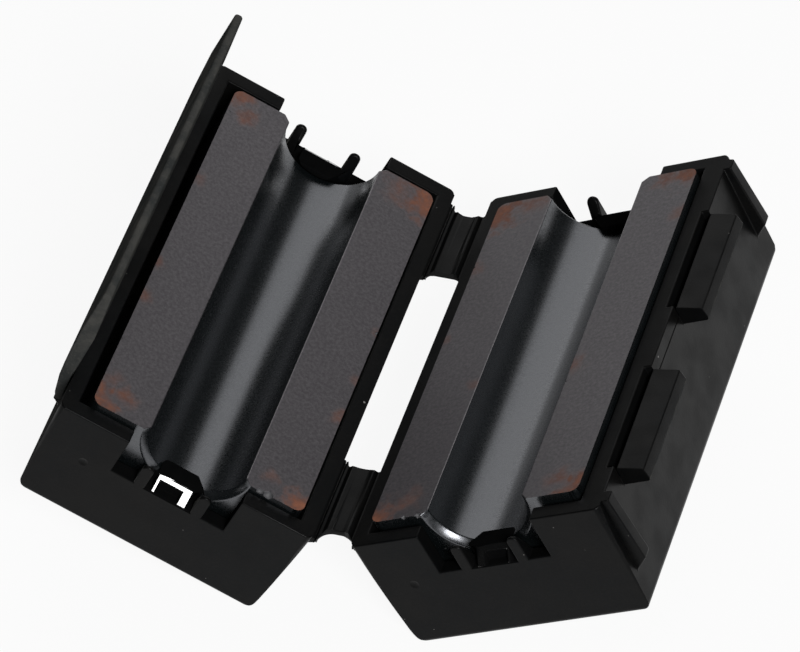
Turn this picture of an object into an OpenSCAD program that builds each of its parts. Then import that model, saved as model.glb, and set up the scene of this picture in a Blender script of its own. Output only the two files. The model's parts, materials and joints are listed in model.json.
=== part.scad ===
// Clip-on ferrite bead, lying open: two half cases joined by two moulded straps,
// each case holding half of a split ferrite core, with a windowed latch plate on one
// case and two catches on the other.
//
// Each half is drawn in its own mating frame and then tilted into place:
//   X = distance out from the hinge side along the mating face
//   Y = along the cable
//   Z = height above the mating face of the ferrite
// The finished part has +X towards the catch half, +Y along the cable and +Z up. Its
// origin is on the surface it stands on, midway between the halves and their ends.

/* [Ferrite core] */
// Length of each core half along the cable
core_len = 28.6; // [20:0.1:45]
// Width of each core half
core_w = 14.2; // [12:0.1:22]
// Height of each core half
core_h = 7.75; // [6.5:0.05:12]
// Diameter of the cable bore
bore_d = 6.4; // [5.2:0.1:7.6]
// Chamfer round each end of the bore
bore_chamfer = 0.4; // [0.1:0.05:0.6]
// Radius of the upright corners of a core half
core_corner_r = 0.6; // [0.2:0.05:1.2]
// Radius of the long edges under a core half
core_edge_r = 0.7; // [0.2:0.05:1.2]
// How far the latch-side core has slid along its loose cavity
core_slide = -0.3; // [-0.3:0.05:0.3]

/* [Case] */
// Angle each half is laid back from the closed mating plane
open_angle = 25.9; // [15:0.1:35]
// Thickness of the long walls
wall = 1; // [0.8:0.05:1.5]
// Thickness of the end walls
end_wall = 1.05; // [0.8:0.05:1.5]
// Thickness of the case floor
floor_wall = 1.15; // [0.8:0.05:1.8]
// Depth of the case rim below the mating face
rim_drop = 0.45; // [0.3:0.05:0.8]
// Distance from the centre plane to the hinge-side wall
hinge_face = 1.1; // [1.09:0.01:1.4]
// Clearance of the core from the hinge-side wall
hinge_side_gap = 0.2; // [0.05:0.05:0.6]
// Clearance of the core from the outer wall of the latch half
latch_side_gap = 0.6; // [0.05:0.05:0.9]
// Extra thickness of the catch half's outer wall, on its inner side
catch_wall_extra = 0.5; // [0:0.05:0.55]
// Clearance at each end of the core
end_gap = 0.35; // [0.3:0.05:0.8]
// How far the hinge-side wall leans in over its height
hinge_lean = 0.6; // [0.1:0.05:0.6]
// How far the latch-side wall leans in over its height
latch_lean = 0.4; // [0.1:0.05:0.5]
// Radius of the long edges round the back
back_r = 0.9; // [0.3:0.05:1]
// Radius of the short edges round the back
end_back_r = 0.45; // [0.2:0.05:1]
// Radius of the upright corners
corner_r = 0.45; // [0.2:0.05:0.8]

/* [Cable mouths] */
// Width of the cut-out in each end wall
mouth_w = 7.6; // [7:0.1:9]
// Depth of the cut-out below the mating face
mouth_depth = 3.5; // [3.3:0.05:4.5]
// Distance between the two prongs in a mouth
prong_gap = 3.1; // [2.6:0.1:3.6]
// Width of a prong
prong_w = 0.75; // [0.5:0.05:1]
// Height of a prong above the mouth's sill
prong_h = 1.8; // [0.8:0.05:2.4]
// Thickness of a prong at its top
prong_t = 0.25; // [0.2:0.05:0.8]
// How far the core clip reaches in past the end wall
clip_reach = 1.25; // [1:0.05:1.6]
// Width of the core clip's ramp
clip_w = 2.4; // [1.8:0.1:2.6]
// Width of the core clip at its nose
clip_nose_w = 1.9; // [1.4:0.05:2.2]
// Height of the core clip's top above the sill
clip_rise = 0.85; // [0.75:0.05:0.95]
// Clearance of the core clip from the bore
clip_gap = 0.15; // [0.1:0.05:0.2]

/* [Hinge straps] */
// Distance between the two straps
strap_gap = 17.6; // [10:0.1:20]
// Width of a strap at its waist
strap_w = 5.35; // [3:0.05:5.5]
// Thickness of the plate between the bend lines
strap_t = 0.5; // [0.4:0.02:0.5]
// Thickness of the thin webs that bend
web_t = 0.26; // [0.2:0.02:0.3]
// Length of a web from its bend line to the plate
web_len = 0.42; // [0.4:0.02:0.5]
// Distance from the centre plane of a closed case's seam to its bend lines
hinge_in = 0.7; // [0.65:0.01:0.7]
// Gap between the two cores when closed
face_gap = 0.04; // [0.02:0.02:0.2]
// Radius of the flare at a strap's outer edge
flare_r = 0.9; // [0.5:0.05:0.95]
// Radius in the corners of the slot between the straps
slot_r = 0.5; // [0.2:0.05:0.9]
// Depth of the shallow hollow along a strap's top
strap_hollow = 0.1; // [0.04:0.02:0.12]

/* [Latch] */
// Length of the latch plate
plate_len = 25.7; // [25.2:0.1:25.8]
// How far the plate is off the middle of the case
plate_shift = -0.15; // [-0.2:0.05:0.2]
// Height of the plate's tip above the mating face
plate_rise = 7.1; // [6:0.1:8.5]
// Thickness of the plate through its windows
plate_t = 0.95; // [0.8:0.05:1.2]
// Thickness of the plate at its tip
tip_t = 0.52; // [0.4:0.02:0.7]
// Outward lean of the plate's inner face at its tip
tip_lean = 0.48; // [0.2:0.02:0.7]
// Height of the windows' lower edge above the mating face
window_low = 0.2; // [0.1:0.05:0.4]
// Height of the windows
window_h = 2.9; // [2.8:0.05:3.4]
// Length of a catch
catch_len = 8.6; // [5:0.1:8.8]
// Distance between the two catches
catch_gap = 5.3; // [3:0.1:6]
// How far the pair of catches is off the middle of the case
catch_shift = -0.85; // [-0.85:0.05:0.85]
// How far a catch stands out from the wall
catch_out = 1.75; // [1:0.05:1.8]
// Clearance of a window round its catch
catch_clear = 0.3; // [0.2:0.05:0.4]
// Radius of the bend at the plate's root
root_r = 0.3; // [0.26:0.02:0.36]
// Depth the bend is sunk into the wall
root_sink = 0.15; // [0.05:0.05:0.2]
// Depth of the plate's bend below the mating face
root_drop = 2.9; // [2.5:0.05:3.5]

/* [Guide ribs] */
// Thickness of a guide rib along the cable
rib_t = 0.9; // [0.6:0.05:1.2]
// Set-back of a rib from the end of the case
rib_set = 0.6; // [0.5:0.05:0.9]
// How far a rib stands out from the wall at the rim
rib_out = 0.47; // [0.3:0.01:0.8]
// How far a rib leans out from its rim to its foot
rib_lean = 0.2; // [0:0.02:0.4]
// Height of a rib
rib_h = 4.85; // [3:0.05:5.5]

/* [Hidden] */
$fn = 48;
round_fn = 96;       // facets asked for on the bore
slack = 0.03;        // running clearance round a bend
plate_gap = 0.05;    // gap between the plate and the wall it lies against
over = 1;            // how far a cutter runs past what it cuts
bite = 0.2;          // how far a moulded-on feature runs into its wall
nib = 0.12;          // small edge rounding on the plate and catches
clip_leg = 0.33;     // width of the ramp left beside the hollow, double on the hinge side
clip_pocket = 0.63;  // depth of the hollow from the end face

bore_r = bore_d / 2;
case_len = core_len + 2 * (end_gap + end_wall);
cavity_len = core_len + 2 * end_gap;
cavity_in = hinge_face + wall;
core_in = cavity_in + hinge_side_gap;
cavity_out = core_in + core_w + latch_side_gap;
latch_face = cavity_out + wall;
case_depth = core_h + floor_wall;
wall_h = case_depth - rim_drop;
bore_at = core_in + core_w / 2;
mouth_at = (cavity_in + cavity_out) / 2;

// Bend lines: closed, the straps lie flat under both halves and the cores meet with
// face_gap between them, which fixes how deep below the mating face the bends are.
bend_drop = (hinge_in * cos(open_angle) - face_gap / 2) / (1 - sin(open_angle));
bend_x = bend_drop + face_gap / 2;
bend_z = hinge_in * sin(open_angle) - bend_drop * cos(open_angle);
strap_end = strap_gap / 2 + strap_w;
root_in = strap_gap / 2 - slot_r;
root_out = strap_end + flare_r;

// The lowest places are the rounded edges at the back of the hinge side.
lean_angle = atan(hinge_lean / wall_h);
edge_x = hinge_face + hinge_lean * (wall_h - back_r) / wall_h + back_r / cos(lean_angle);
lift = back_r + (case_depth - back_r) * cos(open_angle) - edge_x * sin(open_angle);

plate_in = latch_face + plate_gap;
tip_taper = 2.1;     // height of the plate's tapering tip
root_taper = 1.75;   // height over which the plate thins towards its root
bend_out = latch_face_at(root_drop) + root_r - root_sink;

catch_places = [for (to = [-1, 1]) catch_shift + to * (catch_gap + catch_len) / 2];
catch_low = 2.03;      // depth of a catch's underside below the mating face
catch_land = 0.95;     // height of the steep land below a catch's ramp
catch_taper = 0.1;     // how much of its reach a catch loses over that land
catch_hollow_w = 0.48; // width of the groove behind a catch
catch_hollow_d = 0.9;  // depth of that groove

black = [0.12, 0.12, 0.125];
grey = [0.46, 0.46, 0.47];

// Where the outside of each long wall is at a depth below the mating face
function latch_face_at(d) = latch_face - latch_lean * (d - rim_drop) / wall_h;
function hinge_face_at(d) = hinge_face + hinge_lean * (d - rim_drop) / wall_h;

function unit(v) = v / norm(v);
function corner(p, k) = [p[k % len(p)][0], p[k % len(p)][1]];
function half_turn(p, k) =
    acos(unit(corner(p, k + len(p) - 1) - corner(p, k)) * unit(corner(p, k + 1) - corner(p, k))) / 2;
function run_off(p, k, to) =
    corner(p, k) + unit(corner(p, k + to) - corner(p, k)) * p[k][2] / tan(half_turn(p, k));
function inside(p, k) =
    unit(unit(corner(p, k + len(p) - 1) - corner(p, k)) + unit(corner(p, k + 1) - corner(p, k)));

// A convex outline of [x, y, radius] corners with true round corners
module rounded(p) {
    polygon([for (k = [0 : len(p) - 1]) for (to = [len(p) - 1, 1]) run_off(p, k, to)]);
    for (k = [0 : len(p) - 1])
        if (p[k][2] > 0)
            translate(corner(p, k) + inside(p, k) * p[k][2] / sin(half_turn(p, k)))
                circle(p[k][2]);
}

// An XZ outline extruded along the cable, centred
module along(length) {
    rotate([90, 0, 0]) linear_extrude(length, center = true) children();
}

// A YZ outline extruded across the half, from the hinge side to the latch side
module across() {
    rotate([90, 0, 90]) linear_extrude(2 * latch_face, center = true) children();
}

module catch_side() {
    translate([0, 0, lift]) rotate([0, -open_angle, 0]) children();
}

module latch_side() {
    mirror([1, 0, 0]) catch_side() children();
}

// Anything drawn once with its end face on Y = 0 and the half beyond it, at both ends
module both_ends() {
    for (m = [0, 1])
        mirror([0, m, 0]) translate([0, -case_len / 2, 0]) children();
}

module case_blank() {
    half = case_len / 2;
    intersection() {
        along(case_len) rounded([
            [hinge_face, -rim_drop, 0], [hinge_face + hinge_lean, -case_depth, back_r],
            [latch_face - latch_lean, -case_depth, back_r], [latch_face, -rim_drop, 0]]);
        across() rounded([
            [-half, -rim_drop, 0], [-half, -case_depth, end_back_r],
            [half, -case_depth, end_back_r], [half, -rim_drop, 0]]);
        translate([0, 0, -case_depth]) linear_extrude(case_depth) rounded([
            [hinge_face, -half, corner_r], [latch_face, -half, corner_r],
            [latch_face, half, corner_r], [hinge_face, half, corner_r]]);
    }
}

module cavity(extra) {
    translate([cavity_in, -cavity_len / 2, -core_h])
        cube([cavity_out - extra - cavity_in, cavity_len, core_h + over]);
}

module mouth() {
    translate([mouth_at - mouth_w / 2, -over, -mouth_depth])
        cube([mouth_w, end_wall + 2 * over, mouth_depth + over]);
}

// A round-topped prong in the mouth, sloping down to the sill on its inner side
module prong(x) {
    intersection() {
        translate([x, end_wall / 2, 0]) along(end_wall) {
            translate([-prong_w / 2, -mouth_depth - bite])
                square([prong_w, prong_h + bite - prong_w / 2]);
            translate([0, -mouth_depth + prong_h - prong_w / 2]) circle(prong_w / 2);
        }
        across() polygon([[0, -mouth_depth - bite], [end_wall, -mouth_depth - bite],
            [end_wall, -mouth_depth], [prong_t, prong_h - mouth_depth], [0, prong_h - mouth_depth]]);
    }
}

// The clip that holds the core down: a ramp up from the sill, with a hollow in its
// face, and a wider head that reaches in over the floor of the bore
module core_clip() {
    head = prong_gap / 2 + nib;
    nose = clip_nose_w / 2;
    tip = end_wall + clip_reach;
    top = clip_rise - mouth_depth;
    difference() {
        intersection() {
            translate([mouth_at, 0, -mouth_depth - bite]) linear_extrude(clip_rise + bite)
                polygon([[-clip_w / 2, 0], [clip_w / 2, 0], [clip_w / 2, end_wall - nib],
                    [head, end_wall], [head, end_wall + end_gap], [nose, tip], [-nose, tip],
                    [-head, end_wall + end_gap], [-head, end_wall], [-clip_w / 2, end_wall - nib]]);
            across() polygon([[0, -mouth_depth - bite], [tip, -mouth_depth - bite],
                [tip, -bore_r], [tip - nib, top], [end_wall - nib, top], [0, -mouth_depth]]);
            union() {
                translate([mouth_at, end_wall / 2, 0]) along(end_wall)
                    translate([-head, -mouth_depth - bite]) square([2 * head, mouth_depth]);
                translate([bore_at, end_wall + clip_reach / 2, 0]) along(clip_reach + nib)
                    circle(bore_r - clip_gap, $fn = round_fn);
            }
        }
        translate([mouth_at - clip_w / 2 + 2 * clip_leg, -over, -mouth_depth])
            cube([clip_w - 3 * clip_leg, over + clip_pocket, over]);
    }
}

// The thin root that a strap's web bends away from, cut back to let the web stand
// upright in a closed case
module strap_root() {
    low = bend_drop + web_t / 2;
    for (m = [0, 1])
        mirror([0, m, 0]) translate([0, (root_in + root_out) / 2, 0]) difference() {
            along(root_out - root_in) polygon([
                [hinge_in, web_t / 2 - bend_drop], [hinge_face + bite, web_t / 2 - bend_drop],
                [hinge_face + bite, -low - 2 * web_t], [hinge_in, -low]]);
            translate([hinge_in, 0, -bend_drop]) along(root_out - root_in + over) {
                circle(web_t / 2 + slack);
                translate([-over, 0]) square([over + web_t / 2 + slack, over]);
            }
        }
}

module half_case(wall_extra = 0) {
    difference() {
        case_blank();
        cavity(wall_extra);
        both_ends() mouth();
    }
    both_ends() {
        for (to = [-1, 1]) prong(mouth_at + to * (prong_gap + prong_w) / 2);
        core_clip();
    }
    strap_root();
}

// The ledge on the latch half's outer wall that the plate's root bends in
module plate_ledge() {
    low = root_drop + 3 * root_r;
    translate([0, plate_shift, 0]) along(plate_len) polygon([
        [cavity_out + bite, -root_drop], [bend_out + root_r, -root_drop - root_r / 2],
        [bend_out + root_r - nib / 2, -root_drop - root_r], [latch_face_at(low) - nib, -low],
        [cavity_out + bite, -low]]);
}

module latch_shell() {
    color(black) latch_side() difference() {
        union() {
            half_case();
            plate_ledge();
        }
        translate([bend_out, plate_shift, -root_drop]) along(plate_len + 2 * slack)
            circle(root_r + slack);
    }
}

// A window for the catch centred at y
module window(y) {
    length = catch_len + 2 * catch_clear;
    translate([plate_in - over, y - length / 2, window_low])
        cube([plate_t + 2 * over, length, window_h]);
}

module latch_plate() {
    out = plate_in + plate_t;
    tip_in = plate_in + tip_lean;
    color(black) latch_side() difference() {
        translate([0, plate_shift, 0]) {
            along(plate_len) polygon([
                [latch_face_at(root_drop - root_r) + plate_gap, root_r - root_drop],
                [plate_in, -rim_drop], [plate_in + plate_gap, window_low + window_h],
                [tip_in, plate_rise - nib], [tip_in + nib, plate_rise],
                [tip_in + tip_t - nib, plate_rise], [tip_in + tip_t, plate_rise - nib],
                [out + nib / 2, plate_rise - tip_taper], [out + nib / 2, window_low + window_h],
                [out - nib, 0], [out - 2 * nib, -root_drop + root_taper],
                [bend_out + root_r + nib, 2 * nib - root_drop],
                [bend_out + root_r, -root_drop], [bend_out, -root_drop]]);
            translate([bend_out, 0, -root_drop]) along(plate_len) circle(root_r);
        }
        for (y = catch_places) window(y);
    }
}

// A catch with its ramp towards the mating face and a square underside
module catch_at(y) {
    ramp_top = rim_drop + 2 * nib;
    land = latch_face + catch_out;
    hollow = rim_drop + catch_hollow_d;
    translate([0, y, 0]) along(catch_len) polygon([
        [latch_face, -hollow], [latch_face, -ramp_top],
        [land - catch_taper, -catch_low + catch_land], [land, -catch_low + nib],
        [land - nib, -catch_low], [latch_face - wall / 2, -catch_low],
        [latch_face - wall / 2, -hollow]]);
}

// The groove moulded in the rim behind a catch
module catch_hollow(y) {
    translate([latch_face - catch_hollow_w, y - catch_len / 2, -rim_drop - catch_hollow_d])
        cube([catch_hollow_w, catch_len, over + catch_hollow_d]);
}

module guide_rib() {
    foot = rim_drop + rib_h;
    toe = foot + 2 * rib_out;
    translate([0, rib_set + rib_t / 2, 0]) along(rib_t) polygon([
        [cavity_out + bite, -rim_drop], [latch_face + rib_out, -rim_drop],
        [latch_face + rib_out + rib_lean, -foot], [latch_face_at(toe) - nib, -toe],
        [cavity_out + bite, -toe]]);
}

module catch_shell() {
    color(black) catch_side() {
        difference() {
            half_case(catch_wall_extra);
            for (y = catch_places) catch_hollow(y);
        }
        for (y = catch_places) catch_at(y);
        both_ends() guide_rib();
    }
}

module half_core() {
    half = core_len / 2;
    difference() {
        intersection() {
            translate([core_in, -half, -core_h]) cube([core_w, core_len, core_h]);
            translate([0, 0, -core_h]) linear_extrude(core_h) rounded([
                [core_in, -half, core_corner_r], [core_in + core_w, -half, core_corner_r],
                [core_in + core_w, half, core_corner_r], [core_in, half, core_corner_r]]);
            along(core_len) rounded([
                [core_in, 0, 0], [core_in, -core_h, core_edge_r],
                [core_in + core_w, -core_h, core_edge_r], [core_in + core_w, 0, 0]]);
        }
        translate([bore_at, 0, 0]) along(core_len + over) circle(bore_r, $fn = round_fn);
        for (m = [0, 1])
            mirror([0, m, 0]) translate([bore_at, half - bore_chamfer, 0]) rotate([-90, 0, 0])
                cylinder(h = 2 * bore_chamfer, r1 = bore_r, r2 = bore_r + 2 * bore_chamfer, $fn = round_fn);
    }
}

module latch_core() {
    color(grey) latch_side() translate([0, core_slide, 0]) half_core();
}

module catch_core() {
    color(grey) catch_side() half_core();
}

// A strap at the far end: a plate between two thin webs that end in round bends
module strap() {
    web_end = bend_x - web_len;
    top = strap_t - web_t / 2;
    hollow_r = (web_end * web_end + strap_hollow * strap_hollow) / (2 * strap_hollow);
    translate([0, 0, lift + bend_z]) intersection() {
        translate([0, (root_in + root_out) / 2, 0]) difference() {
            union() {
                along(root_out - root_in) polygon([
                    [-bend_x, -web_t / 2], [bend_x, -web_t / 2], [bend_x, web_t / 2],
                    [web_end + top - web_t / 2, web_t / 2], [web_end, top],
                    [-web_end, top], [-web_end - top + web_t / 2, web_t / 2], [-bend_x, web_t / 2]]);
                for (to = [-1, 1])
                    translate([to * bend_x, 0, 0]) along(root_out - root_in) circle(web_t / 2);
            }
            translate([0, 0, top - strap_hollow + hollow_r])
                along(root_out - root_in + over) circle(hollow_r, $fn = round_fn);
        }
        translate([0, 0, -over]) linear_extrude(2 * over) difference() {
            translate([-bend_x - web_t, root_in]) square([2 * (bend_x + web_t), root_out - root_in]);
            for (to = [-1, 1])
                translate([to * (bend_x - flare_r), root_out]) circle(flare_r, $fn = round_fn);
            translate([flare_r - bend_x, strap_end])
                square([2 * (bend_x - flare_r), flare_r + over]);
            for (to = [-1, 1])
                translate([to * (bend_x - slot_r), root_in]) circle(slot_r);
            translate([slot_r - bend_x, root_in - over])
                square([2 * (bend_x - slot_r), slot_r + over]);
        }
    }
}

module hinge_strap_far() {
    color(black) strap();
}

module hinge_strap_near() {
    color(black) mirror([0, 1, 0]) strap();
}

latch_shell();
latch_core();
latch_plate();
catch_shell();
catch_core();
hinge_strap_near();
hinge_strap_far();
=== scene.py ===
"""Clip-on ferrite bead lying open: looks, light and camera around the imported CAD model.

Lengths are in millimetres and become metres through MM. Each half has its own mating
frame: s runs out from the hinge side along the mating face, y along the cable, and t is
the height above the mating face of the ferrite.
"""

import json
import random
from itertools import combinations
from math import cos, radians, sin

import bmesh
import bpy
from mathutils import Matrix, Vector
from mathutils.bvhtree import BVHTree


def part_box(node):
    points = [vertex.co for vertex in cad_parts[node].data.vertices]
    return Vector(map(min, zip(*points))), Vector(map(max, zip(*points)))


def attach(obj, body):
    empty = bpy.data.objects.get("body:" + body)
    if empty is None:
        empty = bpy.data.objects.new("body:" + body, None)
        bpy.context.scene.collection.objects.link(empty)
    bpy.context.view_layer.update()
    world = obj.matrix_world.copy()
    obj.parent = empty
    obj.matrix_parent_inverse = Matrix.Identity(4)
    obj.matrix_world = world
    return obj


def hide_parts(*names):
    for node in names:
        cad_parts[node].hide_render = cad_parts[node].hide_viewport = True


MM = 0.001

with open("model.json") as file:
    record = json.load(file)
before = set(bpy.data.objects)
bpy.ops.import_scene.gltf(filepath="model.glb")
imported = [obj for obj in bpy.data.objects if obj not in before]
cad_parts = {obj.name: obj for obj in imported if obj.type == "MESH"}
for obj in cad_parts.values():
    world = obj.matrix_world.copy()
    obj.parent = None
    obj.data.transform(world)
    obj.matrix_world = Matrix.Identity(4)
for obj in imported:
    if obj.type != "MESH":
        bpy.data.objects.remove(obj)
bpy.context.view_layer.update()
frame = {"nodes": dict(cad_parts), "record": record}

# ---------------------------------------------------------------- the halves' frames

CLOSING = next(j for j in frame["record"]["behaviour"]["joints"] if j["name"] == "strap_hinge")
OPEN_ANGLE = radians(90 - CLOSING["range_deg"][1])      # each half is laid back this far
core_edge = max((v.co for v in frame["nodes"]["catch_core"].data.vertices), key=lambda p: p.z) / MM
CORE_OUT = core_edge.x / cos(OPEN_ANGLE)                # s of the core's outer top edge
LIFT = core_edge.z - CORE_OUT * sin(OPEN_ANGLE)         # height of both mating planes at s = 0
CORE_LEN = (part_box("catch_core")[1][1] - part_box("catch_core")[0][1]) / MM
CASE_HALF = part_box("catch_shell")[1][1] / MM            # from the middle to an end face


def mating_frame(side):
    """The matrix from a half's own frame (s, y, t in mm) to the scene, in metres."""
    turn = Matrix.Rotation(-OPEN_ANGLE, 4, "Y")
    place = Matrix.Translation((0, 0, LIFT)) @ turn
    if side == "latch":
        place = Matrix.Scale(-1, 4, (1, 0, 0)) @ place
    return Matrix.Scale(MM, 4) @ place


def at(side, s, y, t):
    """A point of a half's own frame, in the scene."""
    return mating_frame(side) @ Vector((s, y, t))


def across(side, s, y, t):
    """A direction of a half's own frame, in the scene."""
    return (mating_frame(side).to_3x3() @ Vector((s, y, t))).normalized()


def own_place(side, point):
    """A point of the scene in a half's own frame, in millimetres: s, y and t."""
    return mating_frame(side).inverted() @ point


# ---------------------------------------------------------------- modelling

def only(piece):
    """Makes one piece the selected and active object."""
    bpy.ops.object.select_all(action="DESELECT")
    piece.select_set(True)
    bpy.context.view_layer.objects.active = piece


def new_shape(add_primitive, **settings):
    """A new primitive that is the only thing selected, with its place and turn in its mesh."""
    bpy.ops.object.select_all(action="DESELECT")
    add_primitive(**settings)
    bpy.ops.object.transform_apply(location=True, rotation=True)
    return bpy.context.object


def apply(piece, kind, **settings):
    """Adds a modifier to a piece and applies it."""
    only(piece)
    step = piece.modifiers.new(kind.lower(), kind)
    for name, value in settings.items():
        setattr(step, name, value)
    bpy.ops.object.modifier_apply(modifier=step.name)


def copied(node, name, flatter_than=0.5):
    """A copy of a CAD node's mesh with its loose triangles joined into clean faces."""
    piece = bpy.data.objects.new(name, frame["nodes"][node].data.copy())
    bpy.context.scene.collection.objects.link(piece)
    piece.data.materials.clear()
    only(piece)
    bpy.ops.object.mode_set(mode="EDIT")
    bpy.ops.mesh.select_all(action="SELECT")
    bpy.ops.mesh.remove_doubles(threshold=0.002 * MM)
    bpy.ops.mesh.dissolve_limited(angle_limit=radians(flatter_than))
    bpy.ops.object.mode_set(mode="OBJECT")
    return piece


def cut(piece, cutter):
    """Cuts a shape out of a piece and removes the cutter. The cut keeps the cutter's finish."""
    before = len(piece.data.polygons)
    apply(piece, "BOOLEAN", operation="DIFFERENCE", solver="EXACT", object=cutter,
          material_mode="TRANSFER")
    bpy.data.objects.remove(cutter)
    if len(piece.data.polygons) < before / 2:
        raise RuntimeError(f"a cut lost most of {piece.name}")


def room_at(edge, corner, wide):
    """How much of a rounding this wide fits beside an edge at one of its ends."""
    reaches = [side.other_vert(corner).co - corner.co for side in corner.link_edges]
    for one, other in combinations(reaches, 2):
        if one.normalized().dot(other.normalized()) > 0.99:
            return 0.0
    along = (edge.other_vert(corner).co - corner.co).normalized()
    room = 1.0
    for reach in reaches:
        if abs(reach.normalized().dot(along)) < 0.85:
            room = min(room, 0.45 * reach.length / wide)
    return room


def meets_short(edge, length):
    """Whether an edge, or one that meets it, is shorter than a length in millimetres."""
    meeting = [other for corner in edge.verts for other in corner.link_edges]
    return any(other.calc_length() < length * MM for other in meeting)


def soften(piece, radius, sharper_than=30, clear_of=0.0):
    """Rounds the sharp edges of a piece, as a mould or a tumbling barrel leaves them.

    Edges that meet one shorter than clear_of, such as the facets of a bend, stay as they are.
    """
    sharp = bpy.data.objects.new("sharp_edged", piece.data.copy())
    bpy.context.scene.collection.objects.link(sharp)
    mesh = bmesh.new()
    mesh.from_mesh(piece.data)
    weight = mesh.edges.layers.float.new("bevel_weight_edge")
    for edge in mesh.edges:
        if meets_short(edge, clear_of):
            continue
        if len(edge.link_faces) == 2 and edge.calc_face_angle() > radians(sharper_than):
            edge[weight] = min(room_at(edge, corner, radius * MM) for corner in edge.verts)
    mesh.to_mesh(piece.data)
    mesh.free()
    apply(piece, "BEVEL", width=radius * MM, segments=2, limit_method="WEIGHT",
          use_clamp_overlap=False, loop_slide=False)
    draw_in(piece, sharp, radius)
    bpy.data.objects.remove(sharp)


def draw_in(piece, sharp, radius):
    """Draws any point that strayed off the sharp-edged shape back onto it."""
    surface = BVHTree.FromObject(sharp, bpy.context.evaluated_depsgraph_get())
    strayed = [point.index for point in piece.data.vertices
               if surface.find_nearest(point.co)[3] > 0.5 * radius * MM]
    if strayed:
        group = piece.vertex_groups.new(name="strayed")
        group.add(strayed, 1.0, "REPLACE")
        apply(piece, "SHRINKWRAP", target=sharp, vertex_group="strayed")
        piece.vertex_groups.clear()


def smooth(piece, flat_finish=None):
    """Smooths the rounded edges. Faces that carry the flat finish keep one even shade."""
    only(piece)
    bpy.ops.object.shade_smooth_by_angle(angle=radians(35))
    for face in piece.data.polygons:
        if face.material_index == flat_finish:
            face.use_smooth = False
    apply(piece, "WEIGHTED_NORMAL", keep_sharp=True)


def give_finishes(piece, *finishes):
    """Gives a piece its finishes. Its faces have the first until they are given another."""
    for finish in finishes:
        piece.data.materials.append(finish)


def stands_for(piece, node, body):
    """Puts a piece on a CAD node's body in place of the node, which it hides."""
    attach(piece, body)
    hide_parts(node)


# ---------------------------------------------------------------- finishes

def add(tree, kind, sockets=None, **settings):
    """Adds a shader node, then fills its sockets with values or with other nodes' outputs."""
    made = tree.nodes.new("ShaderNode" + kind)
    for name, value in settings.items():
        setattr(made, name, value)
    for name, value in (sockets or {}).items():
        if isinstance(value, bpy.types.NodeSocket):
            tree.links.new(value, made.inputs[name])
        else:
            made.inputs[name].default_value = value
    return made


def maths(tree, operation, *terms):
    """Works one value out from others."""
    return add(tree, "Math", dict(enumerate(terms)), operation=operation).outputs[0]


def fade(tree, value, start, end, low=0.0, high=1.0):
    """Runs smoothly from low to high as a value runs from start to end."""
    return add(tree, "MapRange", {"Value": value, "From Min": start, "From Max": end,
                                  "To Min": low, "To Max": high},
               interpolation_type="SMOOTHSTEP").outputs["Result"]


def tint(tree, amount, under, over):
    """Lays one colour over another by an amount."""
    return add(tree, "Mix", {"Factor": amount, 6: under, 7: over}, data_type="RGBA").outputs[2]


def noise(tree, place, scale, detail=3.0, rough=0.5):
    """A cloudy pattern with so many clouds a millimetre."""
    return add(tree, "TexNoise", {"Vector": place, "Scale": scale, "Detail": detail,
                                  "Roughness": rough}).outputs["Fac"]


def specks(tree, place, per_mm, radius, share):
    """Small round specks: so many a millimetre, each up to a radius, in a share of the cells."""
    cells = add(tree, "TexVoronoi", {"Vector": place, "Scale": per_mm}, feature="F1")
    pick = add(tree, "SeparateColor", {"Color": cells.outputs["Color"]})
    size = fade(tree, pick.outputs[1], 0.0, 1.0, 0.3 * radius * per_mm, radius * per_mm)
    inside = maths(tree, "LESS_THAN", cells.outputs["Distance"], size)
    chosen = maths(tree, "LESS_THAN", pick.outputs[0], share)
    return maths(tree, "MULTIPLY", inside, chosen)


def new_finish(name):
    """A new material with its shader and its patterns' place in millimetres."""
    made = bpy.data.materials.new(name)
    made.use_nodes = True
    tree = made.node_tree
    shader = tree.nodes["Principled BSDF"]
    place = add(tree, "TexCoord").outputs["Object"]
    place = add(tree, "Mapping", {"Vector": place, "Scale": (1 / MM,) * 3}).outputs[0]
    return made, tree, shader, place


def moulded_black(name, rough=0.38, gloss=0.085):
    """Black nylon with the mould's fine texture, faint flow marks, dust and pale specks."""
    made, tree, shader, place = new_finish(name)
    flow = noise(tree, place, 0.22, 5.0, 0.6)
    grain = noise(tree, place, 5.5, 3.0, 0.6)
    black = tint(tree, fade(tree, flow, 0.35, 0.68),
                 (0.0020, 0.0023, 0.0026, 1), (0.0036, 0.0035, 0.0034, 1))
    black = tint(tree, fade(tree, grain, 0.45, 0.75, 0.0, 0.4), black, (0.0065, 0.0063, 0.0060, 1))
    dust = maths(tree, "MAXIMUM", specks(tree, place, 0.55, 0.075, 0.3),
                 specks(tree, place, 1.6, 0.03, 0.14))
    black = tint(tree, maths(tree, "MULTIPLY", dust, 0.8), black, (0.23, 0.225, 0.215, 1))
    tree.links.new(black, shader.inputs["Base Color"])
    shader.inputs["Specular IOR Level"].default_value = gloss
    patch = fade(tree, noise(tree, place, 0.5, 3.0), 0.3, 0.7, rough - 0.05, rough + 0.07)
    tree.links.new(patch, shader.inputs["Roughness"])
    pits = noise(tree, place, 14.0, 2.0)
    height = maths(tree, "ADD", maths(tree, "MULTIPLY", grain, 0.6),
                   maths(tree, "MULTIPLY", pits, 0.4))
    bump = add(tree, "Bump", {"Height": height, "Strength": 0.35, "Distance": 0.02 * MM})
    tree.links.new(bump.outputs[0], shader.inputs["Normal"])
    return made


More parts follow.
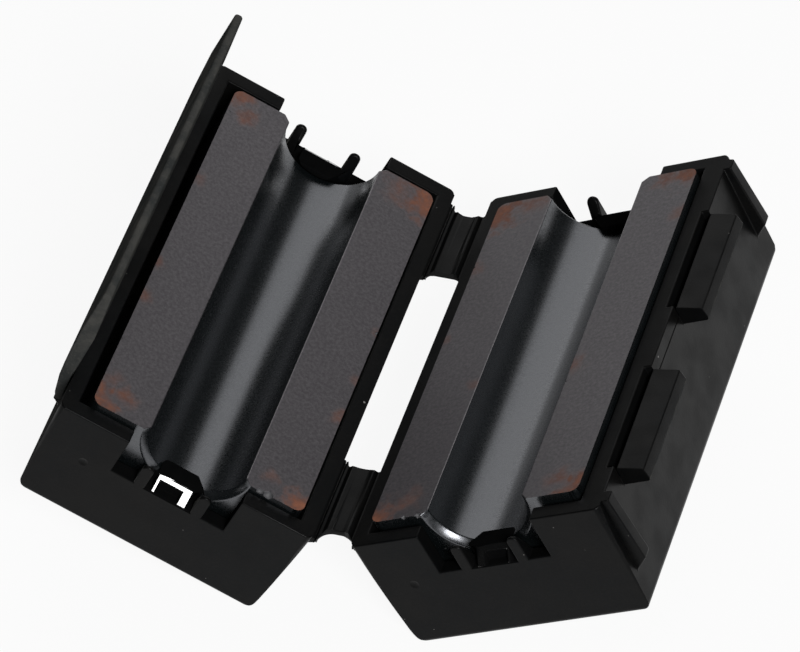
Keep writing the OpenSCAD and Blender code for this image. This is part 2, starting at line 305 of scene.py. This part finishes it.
def even_black(name, gloss, rough):
    """The same nylon, darker and even: polished on the clips' ramps; matt and glossless, it is
    painted shade in the mouths, the grooves behind the catches and the catches' ends.
    """
    made, tree, shader, place = new_finish(name)
    cloud = noise(tree, place, 1.2, 3.0)
    black = tint(tree, cloud, (0.0022, 0.0024, 0.0026, 1), (0.0045, 0.0045, 0.0045, 1))
    tree.links.new(black, shader.inputs["Base Color"])
    shader.inputs["Specular IOR Level"].default_value = gloss
    patch = fade(tree, cloud, 0.3, 0.7, rough - 0.03, rough + 0.05)
    tree.links.new(patch, shader.inputs["Roughness"])
    return made


def dust_and_sheen_black(name):
    """Handled nylon with dust and fine scuffs, and a painted sheen: its base is far paler than the
    plain nylon's, standing in for the grazing reflection on the latch plate, the latch side's
    outer wall and the catches' lips.
    """
    made, tree, shader, place = new_finish(name)
    patch = noise(tree, place, 0.55, 5.0, 0.65)
    grain = noise(tree, place, 5.0, 4.0, 0.7)
    black = tint(tree, fade(tree, patch, 0.35, 0.7),
                 (0.030, 0.032, 0.032, 1), (0.060, 0.059, 0.055, 1))
    black = tint(tree, fade(tree, grain, 0.5, 0.75, 0.0, 0.5), black, (0.085, 0.083, 0.078, 1))
    pale = specks(tree, place, 1.0, 0.05, 0.2)
    black = tint(tree, maths(tree, "MULTIPLY", pale, 0.6), black, (0.18, 0.175, 0.165, 1))
    tree.links.new(black, shader.inputs["Base Color"])
    shader.inputs["Specular IOR Level"].default_value = 0.0
    shader.inputs["Roughness"].default_value = 0.9
    bump = add(tree, "Bump", {"Height": grain, "Strength": 0.5, "Distance": 0.02 * MM})
    tree.links.new(bump.outputs[0], shader.inputs["Normal"])
    return made


def half_place(tree, side):
    """The place on a piece in its half's own frame, in millimetres."""
    place = add(tree, "TexCoord").outputs["Object"]
    flip = -1 if side == "latch" else 1
    return add(tree, "Mapping", {
        "Vector": place, "Scale": (flip / MM, 1 / MM, 1 / MM), "Rotation": (0, OPEN_ANGLE, 0),
        "Location": (-LIFT * sin(OPEN_ANGLE), 0, -LIFT * cos(OPEN_ANGLE))}).outputs[0]


def rust(tree, place, stains):
    """How rusty each point is. Each stain is (s, y, reach, strength), soft and a little ragged."""
    flat = add(tree, "VectorMath", {0: place, 1: (1, 1, 0)}, operation="MULTIPLY").outputs[0]
    ragged = noise(tree, place, 0.9, 4.0, 0.6)
    mottle = noise(tree, place, 2.6, 4.0, 0.6)
    total = None
    for s, y, reach, strength in stains:
        away = add(tree, "VectorMath", {0: flat, 1: (s, y, 0)}, operation="DISTANCE")
        edge = fade(tree, ragged, 0.3, 0.7, 0.4 * reach, -0.4 * reach)
        uneven = maths(tree, "ADD", away.outputs["Value"], edge)
        stain = fade(tree, uneven, 1.15 * reach, 0.0, 0.0, strength)
        total = stain if total is None else maths(tree, "MAXIMUM", total, stain)
    return maths(tree, "MULTIPLY", total, fade(tree, mottle, 0.3, 0.6, 0.55, 1.0))


def ground_ferrite(name, side, stains):
    """The ground mating face: satin mauve grey with a fine grain, rust in its corners."""
    made, tree, shader, _ = new_finish(name)
    place = half_place(tree, side)
    cloud = noise(tree, place, 0.35, 4.0, 0.55)
    grain = noise(tree, place, 4.5, 5.0, 0.75)
    grey = tint(tree, fade(tree, cloud, 0.3, 0.7),
                (0.0125, 0.0110, 0.0130, 1), (0.0180, 0.0160, 0.0180, 1))
    grey = tint(tree, fade(tree, grain, 0.45, 0.7, 0.0, 0.6), grey, (0.036, 0.033, 0.035, 1))
    grey = tint(tree, fade(tree, grain, 0.45, 0.28, 0.0, 0.6), grey, (0.0085, 0.008, 0.0095, 1))
    elsewhere = add(tree, "VectorMath", {0: place, 1: (7, 3, 5)}, operation="ADD").outputs[0]
    pale = specks(tree, elsewhere, 0.6, 0.04, 0.15)
    grey = tint(tree, maths(tree, "MULTIPLY", pale, 0.6), grey, (0.2, 0.2, 0.21, 1))
    stain = rust(tree, place, stains)
    brown = tint(tree, noise(tree, place, 1.6, 4.0, 0.6),
                 (0.085, 0.036, 0.024, 1), (0.30, 0.105, 0.05, 1))
    grey = tint(tree, stain, grey, brown)
    tree.links.new(grey, shader.inputs["Base Color"])
    shader.inputs["IOR"].default_value = 1.9
    shine = fade(tree, grain, 0.3, 0.7, 0.44, 0.72)
    tree.links.new(maths(tree, "MULTIPLY", shine, fade(tree, stain, 0.0, 0.9, 1.0, 0.35)),
                   shader.inputs["Specular IOR Level"])
    shader.inputs["Specular Tint"].default_value = (1.0, 0.95, 1.0, 1)
    tree.links.new(fade(tree, stain, 0.0, 0.8, 0.40, 0.7), shader.inputs["Roughness"])
    bump = add(tree, "Bump", {"Height": grain, "Strength": 0.3, "Distance": 0.02 * MM})
    tree.links.new(bump.outputs[0], shader.inputs["Normal"])
    return made


def fired_ferrite(name, side):
    """The fired skin in the bore and round the outside: near black, smooth and satin."""
    made, tree, shader, _ = new_finish(name)
    place = half_place(tree, side)
    cloud = noise(tree, place, 0.5, 4.0, 0.55)
    grain = noise(tree, place, 6.0, 4.0, 0.65)
    dark = tint(tree, fade(tree, cloud, 0.3, 0.7),
                (0.0020, 0.0030, 0.0033, 1), (0.0036, 0.0048, 0.0053, 1))
    dust = specks(tree, place, 0.5, 0.05, 0.2)
    dark = tint(tree, maths(tree, "MULTIPLY", dust, 0.7), dark, (0.14, 0.14, 0.14, 1))
    tree.links.new(dark, shader.inputs["Base Color"])
    shader.inputs["IOR"].default_value = 2.0
    shader.inputs["Specular Tint"].default_value = (0.92, 0.94, 1.0, 1)
    tree.links.new(fade(tree, grain, 0.3, 0.7, 0.24, 0.32), shader.inputs["Roughness"])
    bump = add(tree, "Bump", {"Height": cloud, "Strength": 0.1, "Distance": 0.01 * MM})
    tree.links.new(bump.outputs[0], shader.inputs["Normal"])
    return made


def broken_ferrite(name):
    """A fresh chip: crystalline, a little paler than the ground face."""
    made, tree, shader, place = new_finish(name)
    facets = noise(tree, place, 3.0, 3.0, 0.6)
    grey = tint(tree, facets, (0.030, 0.030, 0.033, 1), (0.10, 0.10, 0.105, 1))
    tree.links.new(grey, shader.inputs["Base Color"])
    shader.inputs["Roughness"].default_value = 0.6
    return made


# ---------------------------------------------------------------- ferrite halves

CORE_W = 14.2                   # width of a ferrite half, as the CAD model has it
CORE_IN = CORE_OUT - CORE_W     # s of its edge on the hinge side
END_Y = CORE_LEN / 2
CORE_ROUNDING = 0.07
GROUND = 1      # the ground face's place among a ferrite half's finishes, after the fired skin

# Stains as (s, y, reach, strength), the strongest in the corners of the ground faces
RUST = {
    "latch": [(16.4, 13.6, 1.6, 0.75), (15.2, 12.4, 1.0, 0.55), (16.4, 5.6, 0.6, 0.3),
              (16.4, -2.2, 0.6, 0.4), (16.4, -5.2, 0.7, 0.45), (16.2, -14.2, 1.5, 1.0),
              (14.9, -13.2, 0.9, 0.6), (15.9, -12.3, 0.7, 0.35),
              (2.5, 13.0, 1.9, 1.0), (4.6, 12.9, 1.3, 0.45), (2.4, 1.2, 0.4, 0.3),
              (2.4, -3.2, 0.5, 0.35), (2.4, -6.3, 0.8, 0.45), (2.6, -14.2, 1.4, 1.0),
              (4.9, -13.2, 0.7, 0.4)],
    "catch": [(2.5, 13.2, 2.0, 1.0), (4.8, 13.6, 1.5, 0.5), (2.3, 8.2, 0.9, 0.35),
              (2.3, 1.7, 0.6, 0.35), (2.5, -14.0, 1.6, 1.0), (4.4, -12.9, 1.2, 0.45),
              (5.9, -3.0, 0.6, 0.3), (12.9, -2.7, 0.9, 0.45), (16.2, 14.0, 1.7, 0.85),
              (14.4, 13.8, 1.2, 0.6), (16.4, 10.2, 1.0, 0.4), (16.2, -14.0, 1.6, 1.0),
              (14.9, -13.0, 1.0, 0.5)],
}
# Chips in the edges of the ground faces, as (s, y, size)
CHIPS = {
    "latch": [(CORE_IN, 1.2, 0.22), (4.6, -END_Y - 0.3, 0.34), (5.1, -END_Y - 0.3, 0.28),
              (CORE_OUT, -9.1, 0.12), (CORE_OUT - 0.2, 11.9, 0.10)],
    "catch": [(5.6, -END_Y, 0.24), (4.6, -END_Y, 0.18), (12.6, -4.2, 0.15),
              (CORE_IN, 8.4, 0.11)],
}


def chip(side, s, y, size, broken, draw):
    """The small many-sided cutter for one chip in an edge of a ground face."""
    centre = at(side, s, y, 0)
    cutter = new_shape(bpy.ops.mesh.primitive_ico_sphere_add, subdivisions=2,
                       radius=size * MM, location=centre)
    for point in cutter.data.vertices:
        point.co = centre + (point.co - centre) * draw.uniform(0.65, 1.15)
    give_finishes(cutter, broken)
    return cutter


def mark_ground(piece, side, level, depth):
    """Gives the ground finish to the faces this level and this near the mating plane."""
    up = across(side, 0, 0, 1)
    plane = at(side, 0, 0, 0).dot(up)
    for face in piece.data.polygons:
        if face.normal.dot(up) > level and abs(face.center.dot(up) - plane) < depth * MM:
            face.material_index = GROUND


def ferrite_half(side, draw, broken):
    """Half of the split core: soft fired edges, a ground face and a few chips."""
    piece = copied(f"{side}_core", f"{side}_ferrite")
    ground = ground_ferrite(f"ground_ferrite_{side}", side, RUST[side])
    give_finishes(piece, fired_ferrite(f"fired_ferrite_{side}", side), ground)
    mark_ground(piece, side, 0.99, 0.02)
    soften(piece, CORE_ROUNDING, sharper_than=35)
    mark_ground(piece, side, 0.5, 0.05)
    for s, y, size in CHIPS[side]:
        cut(piece, chip(side, s, y, size, broken, draw))
    smooth(piece, flat_finish=GROUND)
    stands_for(piece, f"{side}_core", f"{side}_half")


# ---------------------------------------------------------------- the moulded case

# Sizes of the case's details, as the CAD model has them
WALL = 1.0
HINGE_SIDE_GAP, LATCH_SIDE_GAP = 0.2, 0.6       # clearance of the core from the long walls
RIM_DROP = 0.45                                 # depth of the rim below the mating face
MOUTH_W, MOUTH_DEPTH = 7.6, 3.5
PRONG_GAP, PRONG_W = 3.1, 0.75
CATCH_LEN, CATCH_GAP, CATCH_SHIFT = 8.6, 5.3, -0.85
CATCH_OUT, CATCH_LOW = 1.75, 2.03               # reach, and depth of the underside
GROOVE_W, GROOVE_DEPTH = 0.48, 0.9              # the groove behind a catch

# Places in a half's own frame that follow from them
LATCH_FACE = CORE_OUT + LATCH_SIDE_GAP + WALL   # s of the long outer wall at its rim
MOUTH_AT = (CORE_IN - HINGE_SIDE_GAP + CORE_OUT + LATCH_SIDE_GAP) / 2
CATCHES = [CATCH_SHIFT + end * (CATCH_GAP + CATCH_LEN) / 2 for end in (-1, 1)]

# Where the finishes change beside a mouth, and the slope of a clip's ramp
MOUTH_START = END_Y - 1.0       # how far out along y the mouths and clips start
PRONGS_CLEAR = -3.2             # t above which the prongs stand clear of the mouth's floor
RAMP_ALONG, RAMP_UP = 0.85, 0.93

# What the mould leaves on the case
CASE_ROUNDING = 0.1
GATE_MARKS = {"latch": (15.1, -4.0), "catch": (3.74, -4.1)}     # s and t in the end face
GATE_BALL, GATE_BALL_OUT = 0.9, 0.84    # the ball that dishes one: radius, and middle off the face
SEAM_AT, SEAM_LOW, SEAM_R = LATCH_FACE - 0.04, 1.37, 0.06

# A case's finishes, in the order that moulded_half gives them. The matt one is painted shade in
# the case's recesses.
# The dusty one is dust with a painted sheen on outward-facing faces.
PLAIN, POLISHED, PAINTED_SHADE, DUST_AND_SHEEN = range(4)


def gate_mark(side):
    """The cutter for the shallow round dish that the gate left in a near end face."""
    s, t = GATE_MARKS[side]
    return new_shape(bpy.ops.mesh.primitive_uv_sphere_add, segments=96, ring_count=96,
                     radius=GATE_BALL * MM, location=at(side, s, -CASE_HALF - GATE_BALL_OUT, t))


def seam_line():
    """The cutter for the faint line that the mould left in the wall between the catches."""
    start = CATCHES[0] + CATCH_LEN / 2
    end = CATCHES[1] - CATCH_LEN / 2
    return new_shape(bpy.ops.mesh.primitive_cylinder_add, vertices=12, radius=SEAM_R * MM,
                     depth=(end - start) * MM, rotation=(radians(90), 0, 0),
                     location=at("catch", SEAM_AT, (start + end) / 2, -SEAM_LOW))


def in_mouth(place):
    """Whether a place lies on the clip, the prongs or the mouth's own edges."""
    s, y, t = place
    return (abs(s - MOUTH_AT) < MOUTH_W / 2 + 0.03
            and abs(y) > MOUTH_START
            and t > -MOUTH_DEPTH - 0.12)


def on_ramp(side, face):
    """Whether a face is a clip's sloping ramp, legs and all."""
    s, y, _ = own_place(side, face.center)
    slope = across(side, 0, RAMP_ALONG if y > 0 else -RAMP_ALONG, RAMP_UP)
    return (face.normal.dot(slope) > 0.97
            and abs(s - MOUTH_AT) < PRONG_GAP / 2
            and abs(y) > MOUTH_START)


def on_prong(side, face):
    """Whether a face is part of a prong."""
    s, _, t = own_place(side, face.center)
    return -0.05 < abs(s - MOUTH_AT) - PRONG_GAP / 2 < PRONG_W + 0.05 and t > PRONGS_CLEAR


def from_catch_end(y):
    """How far along y a place is past the end of the nearest catch, or short of it if under 0."""
    return min(abs(y - catch) for catch in CATCHES) - CATCH_LEN / 2


def in_groove(place):
    """Whether a place lies down in a groove behind a catch."""
    s, y, t = place
    return (abs(s - LATCH_FACE + GROOVE_W / 2) < GROOVE_W / 2 + 0.08
            and -GROOVE_DEPTH - 0.1 < t + RIM_DROP < -0.03
            and from_catch_end(y) < 0.05)


def on_catch_end(side, face):
    """Whether a face is an end of a catch."""
    s, y, t = own_place(side, face.center)
    return (s > LATCH_FACE + 0.1
            and t > -CATCH_LOW - 0.05
            and abs(face.normal.y) > 0.8
            and abs(from_catch_end(y)) < 0.1)


def on_catch_lip(side, face):
    """Whether a face is part of the lower outer lip of a catch, where dust gathers and a painted
    sheen brightens the edge.
    """
    s, y, t = own_place(side, face.center)
    return (s > LATCH_FACE + CATCH_OUT - 0.16
            and -CATCH_LOW - 0.05 < t < -CATCH_LOW + 0.2
            and from_catch_end(y) < 0)


def case_finish(piece, side, face):
    """Which of a case's finishes one of its faces has."""
    corners = [own_place(side, piece.data.vertices[i].co) for i in face.vertices]
    if on_ramp(side, face):
        return POLISHED
    # Faces in a mouth, but for the prongs, take the matt finish: painted shade.
    if all(in_mouth(corner) for corner in corners) and not on_prong(side, face):
        return PAINTED_SHADE
    if side == "latch":
        # The latch side's outward faces take the dusty finish, partly a painted sheen.
        return DUST_AND_SHEEN if face.normal.dot(across(side, 1, 0, 0)) > 0.9 else PLAIN
    # Faces down in a groove and the catches' ends take the matt finish: painted shade.
    if all(in_groove(corner) for corner in corners) or on_catch_end(side, face):
        return PAINTED_SHADE
    return DUST_AND_SHEEN if on_catch_lip(side, face) else PLAIN


def moulded_half(side, plain, polished, painted_shade, dust_and_sheen):
    """One half of the case, with its ramps, mouths, grooves and catches in their finishes."""
    piece = copied(f"{side}_shell", f"{side}_case", flatter_than=6)
    give_finishes(piece, plain, polished, painted_shade, dust_and_sheen)
    soften(piece, CASE_ROUNDING)
    for face in piece.data.polygons:
        face.material_index = case_finish(piece, side, face)
    cut(piece, gate_mark(side))
    if side == "catch":
        cut(piece, seam_line())
    smooth(piece)
    stands_for(piece, f"{side}_shell", f"{side}_half")


def moulded_trim(node, name, body, radius, skin, clear_of=0.0):
    """The latch plate or a hinge strap, all in one finish."""
    piece = copied(node, name)
    give_finishes(piece, skin)
    soften(piece, radius, clear_of=clear_of)
    smooth(piece)
    stands_for(piece, node, body)


# ---------------------------------------------------------------- all the pieces

PLATE_ROUNDING, STRAP_ROUNDING = 0.08, 0.04
DRAW_SEED = 7

draw = random.Random(DRAW_SEED)
plain = moulded_black("moulded_black")
polished = even_black("polished_black", gloss=1.0, rough=0.14)
# Matt and glossless: painted shade in the mouths, the grooves and the catches' ends.
painted_shade = even_black("painted_shade_black", gloss=0.0, rough=0.6)
# Dust with a painted sheen: the pale base stands in for grazing reflection.
dust_and_sheen = dust_and_sheen_black("dust_and_sheen_black")
broken = broken_ferrite("broken_ferrite")
for side in ("latch", "catch"):
    ferrite_half(side, draw, broken)
    moulded_half(side, plain, polished, painted_shade, dust_and_sheen)
# The latch plate takes the dusty finish, a painted sheen as well as dust.
moulded_trim("latch_plate", "latch_flap_plate", "latch_flap", PLATE_ROUNDING, dust_and_sheen,
             clear_of=PLATE_ROUNDING)
for end in ("near", "far"):
    moulded_trim(f"hinge_strap_{end}", f"strap_{end}", "hinge_straps", STRAP_ROUNDING, plain)

# ---------------------------------------------------------------- stage and light

FLOOR_SIZE = 3000
AIM = (-0.29, 0.27, 10.0)
CAMERA_AZIMUTH, CAMERA_ELEVATION, CAMERA_ROLL = 17.78, 44.36, -2.05
CAMERA_DISTANCE = 357.34
LENS, SENSOR = 263.66, 36.0
NEAREST_SEEN = 10


def pale_floor():
    """A plain pale floor, lit white where it is seen, that keeps the object's shadow."""
    floor = new_shape(bpy.ops.mesh.primitive_plane_add, size=FLOOR_SIZE * MM)
    floor.name = "floor"
    made = bpy.data.materials.new("pale_paper")
    made.use_nodes = True
    tree = made.node_tree
    shader = tree.nodes["Principled BSDF"]
    shader.inputs["Base Color"].default_value = (0.8, 0.8, 0.8, 1)
    shader.inputs["Roughness"].default_value = 0.9
    shader.inputs["Specular IOR Level"].default_value = 0.1
    rays = add(tree, "LightPath")
    seen = maths(tree, "MAXIMUM", rays.outputs["Is Camera Ray"], rays.outputs["Is Glossy Ray"])
    glow = add(tree, "Emission", {"Color": (1, 1, 1, 1), "Strength": 1.0})
    mixed = add(tree, "MixShader", {0: maths(tree, "MULTIPLY", seen, 0.92),
                                    1: shader.outputs[0], 2: glow.outputs[0]})
    tree.links.new(mixed.outputs[0], tree.nodes["Material Output"].inputs["Surface"])
    give_finishes(floor, made)


def white_room(ambient):
    """A world that is white where it is seen and gives a little plain ambient light."""
    world = bpy.data.worlds.new("white_room")
    bpy.context.scene.world = world
    world.use_nodes = True
    tree = world.node_tree
    seen = add(tree, "LightPath").outputs["Is Camera Ray"]
    back = tree.nodes["Background"]
    back.inputs["Color"].default_value = (1, 1, 1, 1)
    tree.links.new(fade(tree, seen, 0.0, 1.0, ambient, 1.0), back.inputs["Strength"])


def towards(azimuth, elevation):
    """The direction out from the object, by angle round from its near side and angle up."""
    a, e = radians(azimuth), radians(elevation)
    return Vector((sin(a) * cos(e), -cos(a) * cos(e), sin(e)))


def lamp(name, azimuth, elevation, distance, size, watts):
    """A round soft lamp aimed at the object."""
    away = towards(azimuth, elevation)
    data = bpy.data.lights.new(name, "AREA")
    data.shape = "DISK"
    data.size = size * MM
    data.energy = watts
    made = bpy.data.objects.new(name, data)
    made.location = Vector(AIM) * MM + away * (distance * MM)
    made.rotation_euler = away.to_track_quat("Z", "Y").to_euler()
    bpy.context.scene.collection.objects.link(made)


def camera():
    """The camera, aimed at the object and a little rolled."""
    away = towards(CAMERA_AZIMUTH, CAMERA_ELEVATION)
    data = bpy.data.cameras.new("camera")
    data.lens = LENS
    data.sensor_width = SENSOR
    data.clip_start = NEAREST_SEEN * MM
    made = bpy.data.objects.new("camera", data)
    place = Matrix.Translation((Vector(AIM) + away * CAMERA_DISTANCE) * MM)
    turn = away.to_track_quat("Z", "Y").to_matrix().to_4x4()
    roll = Matrix.Rotation(radians(CAMERA_ROLL), 4, "Z")
    made.matrix_world = place @ turn @ roll
    bpy.context.scene.collection.objects.link(made)
    bpy.context.scene.camera = made


camera()
pale_floor()
white_room(0.03)
lamp("front_lamp", 32.5, 38.4, 700, 260, 4.5)
lamp("back_softbox", 188, 38, 900, 1000, 3.0)
lamp("left_back_softbox", 222, 18, 900, 450, 0.22)
bpy.context.scene.view_settings.view_transform = "Standard"
